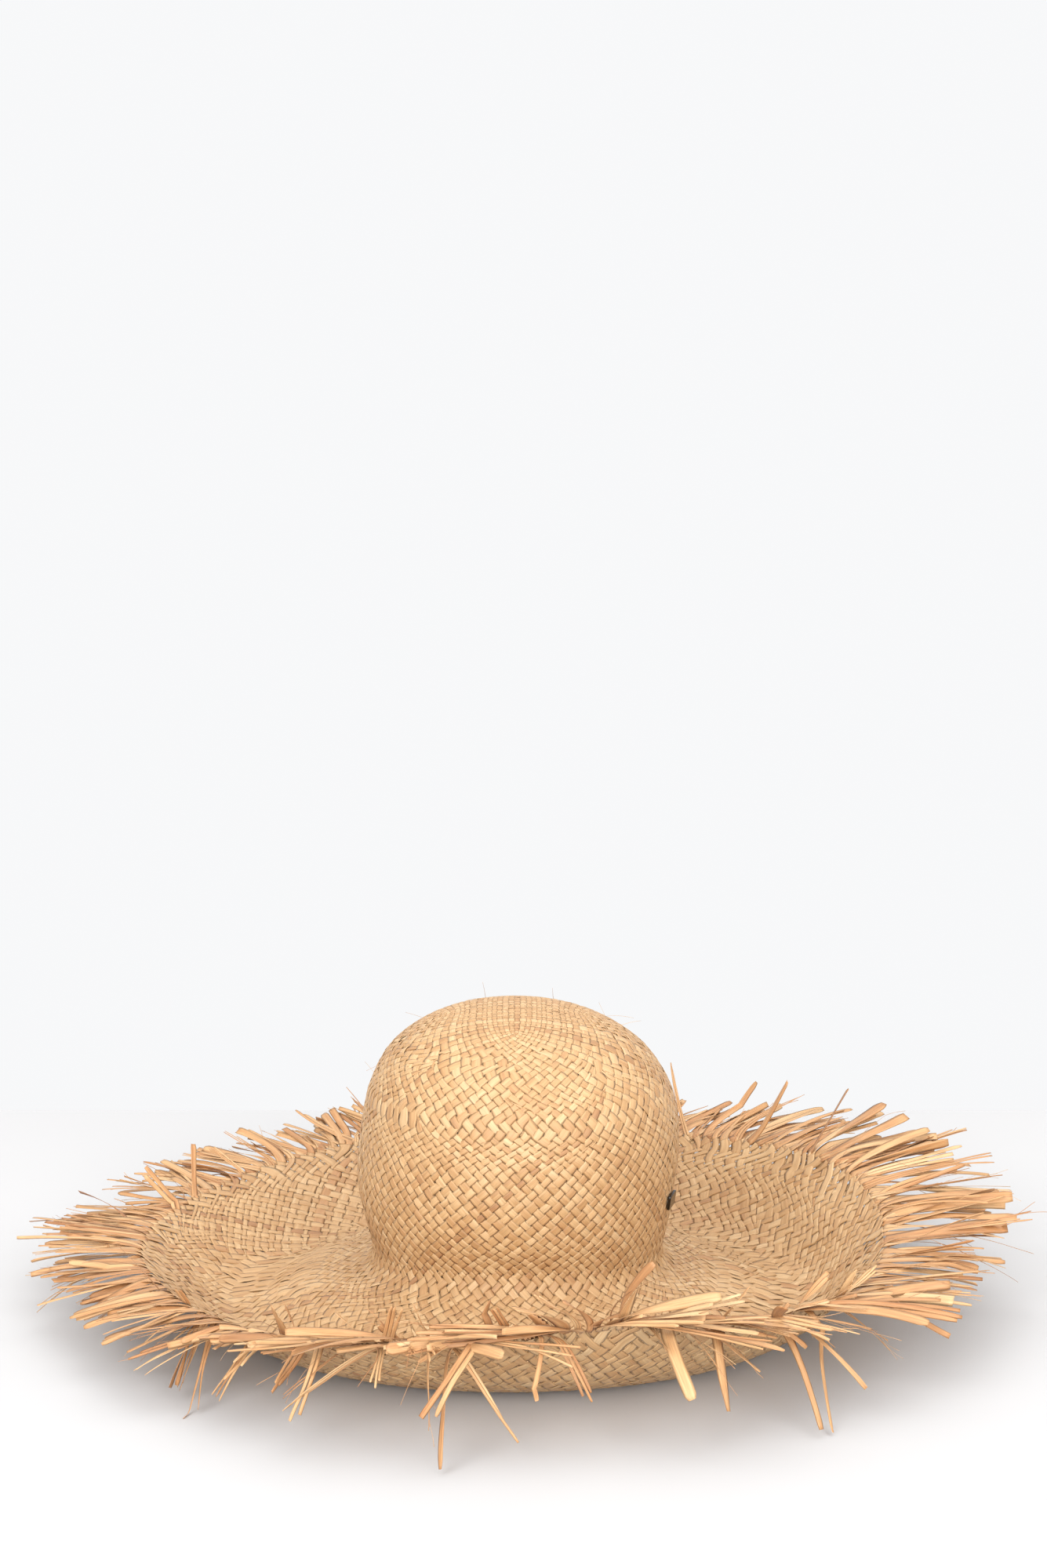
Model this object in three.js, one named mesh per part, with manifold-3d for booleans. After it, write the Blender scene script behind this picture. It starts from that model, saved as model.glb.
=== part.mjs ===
// A woven straw sun hat with a frayed, fringed brim, standing on a table.
//
// Millimetres, +Z up. The origin is on the table under the middle of the hat, +Y points to the
// back of the hat and +X to the side that carries the metal badge. The hood is one sheet of woven
// straw: it is split here at the break, the narrow ring where the crown turns into the brim.

import * as THREE from 'three';
import { mergeVertices } from 'three/addons/utils/BufferGeometryUtils.js';
import Module from 'manifold-3d';

// Hood: radius and height of the straw's upper face, from the crown's tip to the brim's edge.
const hoodOutline = [
  [0, 183], [22, 181], [44, 176], [62.5, 167.2], [78.5, 154], [89.3, 136], [94.5, 118], [96.2, 101],
  [96.5, 86], [95.2, 72], [92.6, 58], [89.8, 48], [87.8, 39.5], [89.5, 32.5], [96, 27], [111, 20],
  [128, 11.6], [144, 3.9], [158, 1.2], [172, 4.4], [189, 14], [206, 28.5], [222, 43],
];
const strawThickness = 1.3;
const edgeRadius = 222;
const turns = 60;
const crownRows = 13;
const brimRowsInside = 7;
const brimRowsOutside = 6;
const clearance = 0.3;

// The hat stands on the brim's valley: between these radii its underside is flat on the table.
const contactInnerRadius = 153;
const valleyRadius = 158;

// The crown leans to the side at one height and back again above it.
const crownLean = 1.8;
const leanHeight = 120;
const leanHalfWave = 66;
const leanStart = [45, 90];
const crownEnd = [100, 110];
// The break is saddle shaped: lower at the hat's two sides.
const breakSaddle = 6;
const breakHeight = 38;
const saddleSpread = 20;
const saddleEnd = [105, 150];
// The valley is wider than it is deep.
const valleyOval = 12;
const valleySpread = 30;
const valleyStart = [100, 130];
// The brim's edge rises and falls by these cosines and sines of one to four waves in a turn.
const edgeCosines = [8.4, -1.7, 0.4, 1.4];
const edgeSines = [-9.7, 2.3, 2.8, 3.5];
const edgePullIn = 0.4;
const curlPower = 1.7;

// Fringe: loose straw ends in tufts round the edge, cut off at an oblong outline.
const tuftCount = 24;
const strandsPerTuft = 6;
const tuftThickness = 1.4;
const tuftRootDepth = 5;
const tuftRootGap = strawThickness + clearance;
const fringeHalfLength = 305;
const fringeHalfDepth = 270;
const strandTipWidth = 3;
const strandTaper = 0.8;
const strandSteps = 2;
const strandLean = 0.03;
// How far the strands reach towards the outline, and how far their ends sink or rise.
const shortestReach = 0.9;
const reachSpread = 0.14;
const strandSink = 6;
const backRise = 12;
const frontFall = 46;
const fallSpread = 8;
const fallPower = 1.5;
// Steps that spread the strands' differences evenly, one for each kind of difference.
const reachStep = 0.618;
const leanStep = 0.382;
const fallStep = 0.271;

// Sweatband: a ribbon that stands inside the crown, sewn along its lower edge.
const bandHeight = 25;
const bandBottom = 44;
const bandThickness = 0.8;
const bandBottomRadius = 86.3;
const bandTopRadius = 88.6;
const bandRows = 3;
const stitchThread = 0.9;
const stitchHeight = 3;
const stitchWave = 0.8;
const stitchCount = 24;
const stitchSteps = 96;

// Ribbon lap over the band's joint, and the folded label, both at the back of the head opening.
const lapWidth = 14;
const lapBottom = 5;
const lapTopGap = 1;
const lapThickness = 0.6;
const labelWidth = 20;
const labelHeight = 13;
const labelBottom = 6;
const labelThickness = 0.5;
const labelAzimuth = 110;
const patchColumns = 6;
const patchRows = 2;

// Badge: a small metal plate held by two prongs that pass through the straw and fold over a washer.
const badgeWidth = 14;
const badgeHeight = 9;
const badgeThickness = 1.8;
const badgeBevel = 0.5;
const badgeCorner = 1.6;
const cornerSteps = 4;
const badgeAzimuth = -16;
const badgeCentreHeight = 70;
const prongSpacing = 7.5;
const prongWidth = 2;
const prongThickness = 0.5;
const prongDepth = 3.6;
const prongLeg = 2.6;
const slotClearance = 0.35;
const slotDepth = 8;
const washerWidth = 11.5;
const washerHeight = 5;
const washerThickness = 0.4;
const washerDepth = 2.4;
const washerCorner = 1.2;

const materials = {
  straw: new THREE.MeshStandardMaterial({ color: 0xd9ae78, roughness: 0.6, metalness: 0 }),
  fringe: new THREE.MeshStandardMaterial({ color: 0xd8a06c, roughness: 0.6, metalness: 0 }),
  ribbon: new THREE.MeshStandardMaterial({ color: 0xe6d9bf, roughness: 0.85, metalness: 0 }),
  thread: new THREE.MeshStandardMaterial({ color: 0xf0e6d2, roughness: 0.8, metalness: 0 }),
  label: new THREE.MeshStandardMaterial({ color: 0xf2efe8, roughness: 0.8, metalness: 0 }),
  badge: new THREE.MeshStandardMaterial({ color: 0x3a3633, roughness: 0.25, metalness: 1 }),
  prong: new THREE.MeshStandardMaterial({ color: 0xa8a49c, roughness: 0.35, metalness: 1 }),
};

const hat = new THREE.Group();

function addMesh(name, geometry, material, parent = hat) {
  const mesh = new THREE.Mesh(geometry, material);
  mesh.name = name;
  parent.add(mesh);
  return mesh;
}

const smooth = ([low, high], value) => THREE.MathUtils.smoothstep(value, low, high);

function edgeWave(azimuth) {
  let wave = 0;
  for (let k = 0; k < edgeCosines.length; k += 1) {
    wave += edgeCosines[k] * Math.cos((k + 1) * azimuth);
    wave += edgeSines[k] * Math.sin((k + 1) * azimuth);
  }
  return wave;
}

// Moves a point of the true solid of revolution to where the settled hat has it.
function settle(radius, azimuth, height) {
  const wave = edgeWave(azimuth);
  const oval = Math.cos(2 * azimuth);
  const curl = Math.max(0, (radius - valleyRadius) / (edgeRadius - valleyRadius)) ** curlPower;
  const nearBreak = Math.exp(-(((height - breakHeight) / saddleSpread) ** 2)) * (1 - smooth(saddleEnd, radius));
  const nearValley = Math.exp(-(((radius - valleyRadius) / valleySpread) ** 2)) * smooth(valleyStart, radius);
  const lean = crownLean * Math.cos((Math.PI * (height - leanHeight)) / leanHalfWave);
  const onCrown = smooth(leanStart, height) * (1 - smooth(crownEnd, radius));
  const newRadius = radius - edgePullIn * curl * wave + valleyOval * nearValley * oval;
  return new THREE.Vector3(
    newRadius * Math.cos(azimuth) + lean * onCrown,
    newRadius * Math.sin(azimuth),
    height + curl * wave - breakSaddle * nearBreak * oval,
  );
}

// A closed ring or shell: a profile of radius and height turned about +Z, then settled.
// The profile runs down or out along the outer face and comes back along the inner face.
function revolve(profile) {
  const geometry = new THREE.LatheGeometry([...profile].reverse(), turns);
  geometry.rotateX(Math.PI / 2);
  const position = geometry.getAttribute('position');
  for (let i = 0; i < position.count; i += 1) {
    const radius = Math.hypot(position.getX(i), position.getY(i));
    const azimuth = Math.atan2(position.getY(i), position.getX(i));
    const point = settle(radius, azimuth, position.getZ(i));
    position.setXYZ(i, point.x, point.y, point.z);
  }
  return geometry;
}

const hoodCurve = new THREE.SplineCurve(hoodOutline.map(([r, z]) => new THREE.Vector2(r, z)));
hoodCurve.arcLengthDivisions = 2000;
const hoodLength = hoodCurve.getLength();

// The break is where the hood is narrowest, between these shares of its curve.
const breakSearch = [0.4, 0.8];
function findBreak() {
  let [best, last] = breakSearch;
  for (let u = best; u < last; u += 0.001) {
    if (hoodCurve.getPointAt(u).x < hoodCurve.getPointAt(best).x) best = u;
  }
  return best;
}
const breakAt = findBreak();
const halfGap = clearance / 2 / hoodLength;

// Share of the curve, between two shares, where a test on its point turns from true to false.
function findShare(low, high, test) {
  let [before, after] = [low, high];
  for (let i = 0; i < 40; i += 1) {
    const middle = (before + after) / 2;
    if (test(hoodCurve.getPointAt(middle))) before = middle;
    else after = middle;
  }
  return before;
}

const evenSpread = (from, to, rows) => (
  Array.from({ length: rows + 1 }, (_, i) => THREE.MathUtils.lerp(from, to, i / rows))
);

const contactFrom = findShare(breakAt, 1, (point) => point.x < contactInnerRadius);
const contactTo = findShare(breakAt, 1, (point) => point.x < valleyRadius);

// The straw at the given shares of the hood's curve: its upper face, then its lower face.
function strawProfile(shares) {
  const upper = [];
  const lower = [];
  for (const u of shares) {
    const point = hoodCurve.getPointAt(u);
    const tangent = hoodCurve.getTangentAt(u);
    if (u === 0) tangent.set(1, 0);
    upper.push(point);
    const standsHere = u === contactFrom || u === contactTo;
    lower.push(new THREE.Vector2(
      point.x + tangent.y * strawThickness,
      standsHere ? 0 : Math.max(0, point.y - tangent.x * strawThickness),
    ));
  }
  return [...upper, ...lower.reverse()];
}

// Radius of the straw's upper face on the crown, at a height.
function crownRadiusAt(height) {
  return hoodCurve.getPointAt(findShare(0, breakAt, (point) => point.y > height)).x;
}

// Booleans: cuts one closed geometry out of another.
const wasm = await Module();
wasm.setup();

function toSolid(geometry) {
  const bare = geometry.clone();
  bare.deleteAttribute('normal');
  bare.deleteAttribute('uv');
  const merged = mergeVertices(bare, 1e-4);
  const index = merged.getIndex().array;
  const corners = [];
  for (let i = 0; i < index.length; i += 3) {
    const [a, b, c] = [index[i], index[i + 1], index[i + 2]];
    if (a !== b && b !== c && c !== a) corners.push(a, b, c);
  }
  const mesh = new wasm.Mesh({
    numProp: 3,
    vertProperties: new Float32Array(merged.getAttribute('position').array),
    triVerts: new Uint32Array(corners),
  });
  return new wasm.Manifold(mesh);
}

function toGeometry(solid) {
  const mesh = solid.getMesh();
  const geometry = new THREE.BufferGeometry();
  geometry.setAttribute('position', new THREE.BufferAttribute(mesh.vertProperties, 3));
  geometry.setIndex(new THREE.BufferAttribute(mesh.triVerts, 1));
  geometry.computeVertexNormals();
  return geometry;
}

// The badge's own frame: x along the crown, y up the wall, z out of it.
const badgeTurn = THREE.MathUtils.degToRad(badgeAzimuth);
const badgeFrame = new THREE.Group();
function placeBadgeFrame() {
  const at = (azimuth, height) => settle(crownRadiusAt(height), azimuth, height);
  const centre = at(badgeTurn, badgeCentreHeight);
  const [rise, turn] = [badgeHeight / 3, badgeWidth / 500];
  const up = at(badgeTurn, badgeCentreHeight + rise).sub(at(badgeTurn, badgeCentreHeight - rise)).normalize();
  const along = at(badgeTurn + turn, badgeCentreHeight).sub(at(badgeTurn - turn, badgeCentreHeight));
  const out = along.clone().cross(up).normalize();
  const side = up.clone().cross(out);
  badgeFrame.applyMatrix4(new THREE.Matrix4().makeBasis(side, up, out).setPosition(centre));
  badgeFrame.updateMatrix();
}
placeBadgeFrame();
hat.add(badgeFrame);

function roundedRectangle(width, height, corner) {
  const points = [];
  for (let quarter = 0; quarter < 4; quarter += 1) {
    const sideX = quarter === 0 || quarter === 3 ? 1 : -1;
    const sideY = quarter < 2 ? 1 : -1;
    for (let i = 0; i <= cornerSteps; i += 1) {
      const turn = ((quarter + i / cornerSteps) * Math.PI) / 2;
      points.push(new THREE.Vector2(
        sideX * (width / 2 - corner) + corner * Math.cos(turn),
        sideY * (height / 2 - corner) + corner * Math.sin(turn),
      ));
    }
  }
  return new THREE.Shape(points);
}

// A prong's slot, in the badge's own frame, deep enough for the straw and for the washer.
function slotCutter(side) {
  const slotWidth = prongThickness + 2 * slotClearance;
  const slotHeight = prongWidth + 2 * slotClearance;
  const cutter = new THREE.BoxGeometry(slotWidth, slotHeight, slotDepth);
  return cutter.translate((side * prongSpacing) / 2, 0, 0);
}

function crown() {
  let solid = toSolid(revolve(strawProfile(evenSpread(0, breakAt - halfGap, crownRows))));
  for (const side of [-1, 1]) {
    solid = solid.subtract(toSolid(slotCutter(side).applyMatrix4(badgeFrame.matrix)));
  }
  return toGeometry(solid);
}

function brim() {
  const profile = strawProfile([
    ...evenSpread(breakAt + halfGap, contactFrom, brimRowsInside),
    ...evenSpread(contactTo, 1, brimRowsOutside),
  ]);
  profile.push(profile[0].clone());
  return revolve(profile);
}

function badgePlate() {
  const inset = badgeBevel;
  const outline = roundedRectangle(badgeWidth - 2 * inset, badgeHeight - 2 * inset, badgeCorner - inset);
  const plate = new THREE.ExtrudeGeometry(outline, {
    depth: badgeThickness - badgeBevel,
    bevelEnabled: true,
    bevelThickness: badgeBevel / 2,
    bevelSize: badgeBevel,
    bevelSegments: 2,
  });
  plate.translate(0, 0, clearance + badgeBevel / 2);
  return plate;
}

// One prong: straight through the straw, then folded towards the middle of the washer.
function badgeProng(side) {
  const x = (side * prongSpacing) / 2;
  const outer = x + (side * prongThickness) / 2;
  const inner = x - (side * prongThickness) / 2;
  const tip = x - side * prongLeg;
  const outline = new THREE.Shape([
    new THREE.Vector2(inner, 0),
    new THREE.Vector2(outer, 0),
    new THREE.Vector2(outer, -prongDepth),
    new THREE.Vector2(tip, -prongDepth),
    new THREE.Vector2(tip, -prongDepth + prongThickness),
    new THREE.Vector2(inner, -prongDepth + prongThickness),
  ]);
  const prong = new THREE.ExtrudeGeometry(outline, { depth: prongWidth, bevelEnabled: false });
  prong.translate(0, 0, -prongWidth / 2);
  prong.rotateX(Math.PI / 2);
  return prong;
}

function badgeWasher() {
  const blank = new THREE.ExtrudeGeometry(roundedRectangle(washerWidth, washerHeight, washerCorner), {
    depth: washerThickness,
    bevelEnabled: false,
  });
  blank.translate(0, 0, -washerDepth - washerThickness);
  let solid = toSolid(blank);
  for (const side of [-1, 1]) {
    solid = solid.subtract(toSolid(slotCutter(side)));
  }
  return toGeometry(solid);
}

// Radius of the band's outer face at a height above its lower edge.
const bandRadius = (up) => THREE.MathUtils.lerp(bandBottomRadius, bandTopRadius, up / bandHeight);

function sweatband() {
  const profile = [];
  for (const up of evenSpread(0, bandHeight, bandRows)) {
    profile.push(new THREE.Vector2(bandRadius(up), bandBottom + up));
  }
  const inside = profile.map((point) => new THREE.Vector2(point.x - bandThickness, point.y));
  const loop = [...profile.reverse(), ...inside, profile[0].clone()];
  return revolve(loop);
}

// A closed patch of ribbon, curved like the band and lying on its inner face.
function bandPatch(azimuth, width, bottom, top, thickness) {
  const halfTurn = width / 2 / bandBottomRadius;
  const patch = new THREE.BoxGeometry(thickness, 1, 1, 1, patchColumns, patchRows);
  const position = patch.getAttribute('position');
  for (let i = 0; i < position.count; i += 1) {
    const up = THREE.MathUtils.lerp(bottom, top, position.getZ(i) + 0.5);
    const turn = azimuth + 2 * halfTurn * position.getY(i);
    const depth = bandThickness + clearance + thickness / 2 - position.getX(i);
    const point = settle(bandRadius(up) - depth, turn, bandBottom + up);
    position.setXYZ(i, point.x, point.y, point.z);
  }
  return patch;
}

// The sewing thread runs round the band's inner face in a shallow wave, near its lower edge.
function stitching() {
  const points = [];
  for (let i = 0; i < stitchSteps; i += 1) {
    const turn = (2 * Math.PI * i) / stitchSteps;
    const up = stitchHeight + stitchWave * Math.sin(stitchCount * turn);
    const radius = bandRadius(up) - bandThickness - clearance - stitchThread / 2;
    points.push(settle(radius, turn, bandBottom + up));
  }
  const path = new THREE.CatmullRomCurve3(points, true);
  const section = new THREE.Shape();
  section.absarc(0, 0, stitchThread / 2, 0, 2 * Math.PI);
  return new THREE.ExtrudeGeometry(section, {
    extrudePath: path,
    steps: stitchSteps,
    curveSegments: 2,
    bevelEnabled: false,
  });
}

// An even spread of values from 0 to 1 that never repeats, to vary the strands.
const vary = (index, step) => (index * step) % 1;

// Middle line of one loose strand: out from the edge, leaning to one side and falling in front.
function strandPoint(index, azimuth, along) {
  const front = Math.max(0, -Math.sin(azimuth));
  const back = Math.max(0, Math.sin(azimuth));
  const oval = 1 / Math.hypot(Math.cos(azimuth) / fringeHalfLength, Math.sin(azimuth) / fringeHalfDepth);
  const reach = oval * (shortestReach + reachSpread * vary(index, reachStep));
  const root = settle(edgeRadius, azimuth, hoodCurve.getPoint(1).y);
  const rootRadius = Math.hypot(root.x, root.y) + tuftRootGap;
  const lean = strandLean * (vary(index, leanStep) - 0.5);
  const fall = backRise * back - strandSink - frontFall * front ** 2 + fallSpread * (vary(index, fallStep) - 0.5);
  const radius = rootRadius + tuftRootDepth + (reach - rootRadius - tuftRootDepth) * along;
  const turn = azimuth + lean * along;
  const height = Math.max(tuftThickness + clearance, root.z + fall * along ** fallPower);
  return new THREE.Vector3(radius * Math.cos(turn), radius * Math.sin(turn), height);
}

// Cuts a strand's end off at the fringe's outermost length and depth.
function trim(point) {
  point.x = THREE.MathUtils.clamp(point.x, -fringeHalfLength, fringeHalfLength);
  point.y = THREE.MathUtils.clamp(point.y, -fringeHalfDepth, fringeHalfDepth);
  return point;
}

// One tuft: a root strip along the brim's edge with its strands, as one closed solid.
// Each station is a left and a right corner; the lower face is a copy, one thickness down.
function tuft(number) {
  const corners = [];
  const faces = [];
  const tuftTurn = (2 * Math.PI) / tuftCount;
  const sideGap = clearance / edgeRadius;
  const firstTurn = number * tuftTurn + sideGap;
  const strandTurn = (tuftTurn - 2 * sideGap) / strandsPerTuft;
  const addCorner = (point) => {
    corners.push(point);
    return corners.length - 1;
  };
  const quads = [];
  const walls = [];
  const rootCorner = (turn, depth) => {
    const root = settle(edgeRadius, turn, hoodCurve.getPoint(1).y);
    const radius = Math.hypot(root.x, root.y) + tuftRootGap + depth;
    return addCorner(new THREE.Vector3(radius * Math.cos(turn), radius * Math.sin(turn), root.z));
  };
  const inner = [];
  const outer = [];
  for (let k = 0; k <= strandsPerTuft; k += 1) {
    inner.push(rootCorner(firstTurn + k * strandTurn, 0));
    outer.push(rootCorner(firstTurn + k * strandTurn, tuftRootDepth));
  }
  walls.push([outer[0], inner[0]], [inner[strandsPerTuft], outer[strandsPerTuft]]);
  for (let k = 0; k < strandsPerTuft; k += 1) {
    quads.push([inner[k], outer[k], outer[k + 1], inner[k + 1]]);
    walls.push([inner[k], inner[k + 1]]);
    const index = number * strandsPerTuft + k + 1;
    const azimuth = firstTurn + (k + 0.5) * strandTurn;
    let [right, left] = [outer[k], outer[k + 1]];
    const rootWidth = corners[right].distanceTo(corners[left]);
    for (let i = 1; i <= strandSteps; i += 1) {
      const along = i / strandSteps;
      const middle = strandPoint(index, azimuth, along);
      const halfWidth = THREE.MathUtils.lerp(rootWidth * strandTaper, strandTipWidth, along) / 2;
      const across = new THREE.Vector3(-Math.sin(azimuth), Math.cos(azimuth), 0).multiplyScalar(halfWidth);
      const nextRight = addCorner(trim(middle.clone().sub(across)));
      const nextLeft = addCorner(trim(middle.clone().add(across)));
      quads.push([right, nextRight, nextLeft, left]);
      walls.push([nextRight, right], [left, nextLeft]);
      [right, left] = [nextRight, nextLeft];
    }
    walls.push([left, right]);
  }
  const count = corners.length;
  for (const [a, b, c, d] of quads) {
    faces.push(a, b, c, a, c, d);
    faces.push(a + count, c + count, b + count, a + count, d + count, c + count);
  }
  for (const [a, b] of walls) {
    faces.push(a, b, b + count, a, b + count, a + count);
  }
  const lower = corners.map((point) => point.clone().setZ(point.z - tuftThickness));
  const geometry = new THREE.BufferGeometry().setFromPoints([...corners, ...lower]);
  geometry.setIndex(faces);
  geometry.computeVertexNormals();
  return geometry;
}

addMesh('woven_crown', crown(), materials.straw);
addMesh('woven_brim', brim(), materials.straw);
for (let number = 0; number < tuftCount; number += 1) {
  addMesh(`fringe_tuft_${String(number + 1).padStart(2, '0')}`, tuft(number), materials.fringe);
}
addMesh('sweatband', sweatband(), materials.ribbon);
addMesh('sweatband_stitching', stitching(), materials.thread);
addMesh(
  'sweatband_lap',
  bandPatch(Math.PI / 2, lapWidth, lapBottom, bandHeight - lapTopGap, lapThickness),
  materials.ribbon,
);
const labelTurn = THREE.MathUtils.degToRad(labelAzimuth);
addMesh(
  'size_label',
  bandPatch(labelTurn, labelWidth, labelBottom, labelBottom + labelHeight, labelThickness),
  materials.label,
);
addMesh('badge_plate', badgePlate(), materials.badge, badgeFrame);
addMesh('badge_prong_back', badgeProng(1), materials.prong, badgeFrame);
addMesh('badge_prong_front', badgeProng(-1), materials.prong, badgeFrame);
addMesh('badge_washer', badgeWasher(), materials.prong, badgeFrame);

export default hat;
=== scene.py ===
"""Looks of the woven straw sun hat: every straw of the weave and of the fringe is its own ribbon.

The hood's outline and the way it settles are the same as in the CAD part, in millimetres. The
straws are laid out on that surface as two families of 45 degree spirals. At the crown's tip they
come from a square grid with four corners, as a four-corner hat weave is started.
"""

import math

import bpy
import numpy as np
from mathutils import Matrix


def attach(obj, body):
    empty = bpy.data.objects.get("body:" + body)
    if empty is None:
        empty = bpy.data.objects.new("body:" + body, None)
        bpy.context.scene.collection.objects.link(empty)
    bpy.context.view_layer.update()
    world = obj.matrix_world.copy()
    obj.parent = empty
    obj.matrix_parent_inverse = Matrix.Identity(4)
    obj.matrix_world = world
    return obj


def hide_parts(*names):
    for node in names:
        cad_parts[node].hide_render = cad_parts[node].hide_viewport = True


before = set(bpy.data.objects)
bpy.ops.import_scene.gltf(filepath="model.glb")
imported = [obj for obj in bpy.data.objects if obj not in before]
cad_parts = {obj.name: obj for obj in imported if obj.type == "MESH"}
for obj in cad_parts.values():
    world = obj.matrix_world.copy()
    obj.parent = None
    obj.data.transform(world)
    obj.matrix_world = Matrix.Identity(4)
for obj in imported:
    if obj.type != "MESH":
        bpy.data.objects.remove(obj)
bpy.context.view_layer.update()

MM = 0.001
rng = np.random.default_rng(7)

# ---------------------------------------------------------------- hood surface, as in the CAD part
HOOD_OUTLINE = np.array([
    (0, 183), (22, 181), (44, 176), (62.5, 167.2), (78.5, 154), (89.3, 136), (94.5, 118), (96.2, 101),
    (96.5, 86), (95.2, 72), (92.6, 58), (89.8, 48), (87.8, 39.5), (89.5, 32.5), (96, 27), (111, 20),
    (128, 11.6), (144, 3.9), (158, 1.2), (172, 4.4), (189, 14), (206, 28.5), (222, 43),
])
VALLEY_RADIUS = 158
EDGE_RADIUS = 222
CROWN_LEAN = 1.8
BREAK_SADDLE = 6
BREAK_HEIGHT = 38
VALLEY_OVAL = 12
EDGE_COSINES = (8.4, -1.7, 0.4, 1.4)
EDGE_SINES = (-9.7, 2.3, 2.8, 3.5)
EDGE_PULL_IN = 0.4
CURL_POWER = 1.7
SADDLE_SPREAD = 20
SADDLE_END = (105, 150)
VALLEY_SPREAD = 30
VALLEY_START = (100, 130)
LEAN_HEIGHT = 120
LEAN_HALF_WAVE = 66
LEAN_START = (45, 90)
CROWN_END = (100, 110)
STRAW_THICKNESS = 1.3


def smooth(low, high, value):
    t = np.clip((value - low) / (high - low), 0, 1)
    return t * t * (3 - 2 * t)


def spline(control, per_span=80):
    """Uniform Catmull-Rom spline through the control points."""
    before = np.vstack([control[:1], control[:-1]])
    after = np.vstack([control[1:], control[-1:]])
    points = []
    for i in range(len(control) - 1):
        p0, p1, p2, p3 = before[i], control[i], control[i + 1], after[i + 1]
        for t in np.arange(per_span) / per_span:
            v0, v1 = (p2 - p0) / 2, (p3 - p1) / 2
            points.append(
                (2 * p1 - 2 * p2 + v0 + v1) * t**3 + (-3 * p1 + 3 * p2 - 2 * v0 - v1) * t**2 + v0 * t + p1
            )
    points.append(control[-1])
    return np.array(points)


PROFILE = spline(HOOD_OUTLINE)
STATION = np.concatenate([[0], np.cumsum(np.hypot(*np.diff(PROFILE, axis=0).T))])
HOOD_LENGTH = STATION[-1]


def radius_at(station):
    return np.interp(station, STATION, PROFILE[:, 0])


def height_at(station):
    return np.interp(station, STATION, PROFILE[:, 1])


CROWN_HALF = STATION < HOOD_LENGTH * 0.8
BREAK = STATION[np.argmin(np.where(CROWN_HALF & (STATION > HOOD_LENGTH * 0.4), PROFILE[:, 0], 1e9))]


def edge_wave(azimuth):
    wave = 0 * azimuth
    for k, (c, s) in enumerate(zip(EDGE_COSINES, EDGE_SINES), start=1):
        wave = wave + c * np.cos(k * azimuth) + s * np.sin(k * azimuth)
    return wave


def settle(radius, azimuth, height):
    """Where a point of the round hood comes to lie once the hat has settled on the table."""
    curl = np.clip((radius - VALLEY_RADIUS) / (EDGE_RADIUS - VALLEY_RADIUS), 0, None) ** CURL_POWER
    near_break = np.exp(-(((height - BREAK_HEIGHT) / SADDLE_SPREAD) ** 2)) * (1 - smooth(*SADDLE_END, radius))
    near_valley = np.exp(-(((radius - VALLEY_RADIUS) / VALLEY_SPREAD) ** 2)) * smooth(*VALLEY_START, radius)
    lean = CROWN_LEAN * np.cos(math.pi * (height - LEAN_HEIGHT) / LEAN_HALF_WAVE)
    lean = lean * smooth(*LEAN_START, height) * (1 - smooth(*CROWN_END, radius))
    wave, oval = edge_wave(azimuth), np.cos(2 * azimuth)
    out = radius - EDGE_PULL_IN * curl * wave + VALLEY_OVAL * near_valley * oval
    up = height + curl * wave - BREAK_SADDLE * near_break * oval
    return np.stack([out * np.cos(azimuth) + lean, out * np.sin(azimuth), up], -1)


def unit(vectors):
    return vectors / np.maximum(np.linalg.norm(vectors, axis=-1, keepdims=True), 1e-12)


def surface(station, azimuth):
    """Point and outward normal of the straw's upper face."""
    station = np.clip(station, 0.4, HOOD_LENGTH - 0.05)
    along, turn = 0.04, 0.002

    def at(place, angle):
        return settle(radius_at(place), angle, height_at(place))

    down = at(station + along, azimuth) - at(station - along, azimuth)
    around = at(station, azimuth + turn) - at(station, azimuth - turn)
    return at(station, azimuth), unit(np.cross(down, around))


# Conformal radius: in the plane with this radius and the azimuth, angles are the hood's own.
CONFORMAL_STATION = np.linspace(0.5, HOOD_LENGTH, 6000)
CONFORMAL_LOG = np.log(CONFORMAL_STATION[0]) + np.concatenate([
    [0],
    np.cumsum(np.diff(CONFORMAL_STATION) * 2 / (
        radius_at(CONFORMAL_STATION[1:]) + radius_at(CONFORMAL_STATION[:-1])
    )),
])


def log_at(station):
    return np.interp(station, CONFORMAL_STATION, CONFORMAL_LOG)


def station_at_log(value):
    return np.interp(value, CONFORMAL_LOG, CONFORMAL_STATION)


def slow_noise(length, wavelength, amount):
    """A smooth random curve with about one hump per wavelength of samples."""
    knots = max(4, int(length / wavelength) + 3)
    values = rng.normal(0, amount, knots)
    position = np.linspace(1, knots - 2.001, length)
    i = position.astype(int)
    f = position - i
    f = f * f * (3 - 2 * f)
    return values[i] * (1 - f) + values[i + 1] * f


# ---------------------------------------------------------------- weave layout
TIP_COUNT = 56
EDGE_COUNT = 172
TIP_CORNER = 43.0
TIP_REACH = 1.55
DENSITY = TIP_COUNT * math.sqrt(2) / (2 * math.pi)
GROWTH = 22.0
STEP = 1.1
WAVE_HEIGHT = 0.25
STRAW_HALF_THICKNESS = 0.20
FILL = 1.01
HALF_TIP = TIP_COUNT // 4
CROWN_STRAW_WIDTH = 5.15
EDGE_STRAW_WIDTH = 5.8
CROWN_RADIUS = 80
SETTLING = 30
# Spirals narrower than these shares of a full straw aren't drawn, or aren't woven with.
LEAST_DRAWN = 0.14
LEAST_CROSSED = 0.35
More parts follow.
